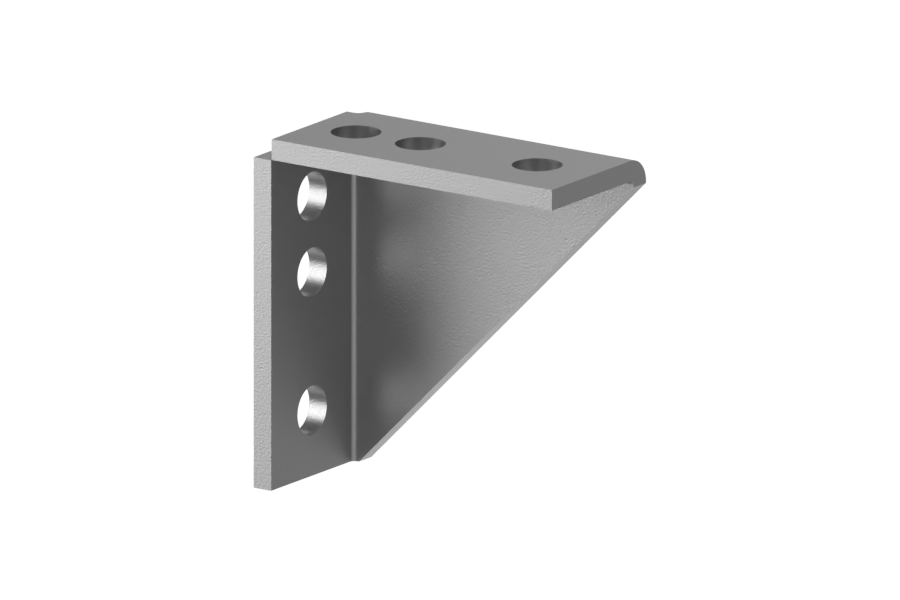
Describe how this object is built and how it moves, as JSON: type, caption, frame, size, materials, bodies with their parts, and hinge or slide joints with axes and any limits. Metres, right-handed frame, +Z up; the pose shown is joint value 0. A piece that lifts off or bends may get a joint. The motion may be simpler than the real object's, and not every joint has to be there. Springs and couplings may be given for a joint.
{
  "type": "reinforced angle bracket",
  "caption": "Angle bracket folded from one steel plate: a wall flange and a top flange, both with round bolt holes, joined along one side by a triangular web that stiffens the corner.",
  "frame": {"origin": "on the wall face, where the axis of the upper wall hole meets it", "axes": "+X out from the wall along the top flange, +Y along the flanges' width from their front edges to the web, +Z up"},
  "size_m": [0.102, 0.046, 0.102],
  "materials": {
    "zinc_steel": "zinc-coated steel, matt grey with a fine grain"
  },
  "bodies": {
    "root": {"angle_bracket": "zinc_steel"}
  },
  "joints": []
}
